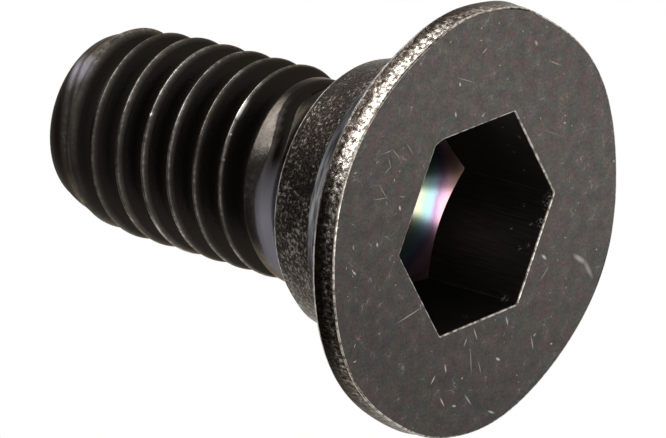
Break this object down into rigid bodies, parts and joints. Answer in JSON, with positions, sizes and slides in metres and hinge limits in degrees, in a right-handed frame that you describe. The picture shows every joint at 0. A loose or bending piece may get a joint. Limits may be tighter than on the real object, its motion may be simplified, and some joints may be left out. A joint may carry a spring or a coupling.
{
  "type": "cleat bolt",
  "caption": "Short black steel bolt with a thin wide flange, a flared boss under the head, a hexagon socket and a coarse right-hand thread with a rounded tip.",
  "frame": {"origin": "centre of the head's flat face, on which the bolt stands", "axes": "+Z along the bolt's axis from the head face to the threaded tip, +X through one corner of the hexagon socket, +Y by the right-hand rule"},
  "size_m": [0.0098, 0.01, 0.0115],
  "materials": {
    "black_oxide_steel": "black oxide with a trace of oil on cold-forged and rolled steel, satin, worn bright along the sharp edges"
  },
  "bodies": {
    "root": {"cleat_bolt": "black_oxide_steel"}
  },
  "joints": []
}
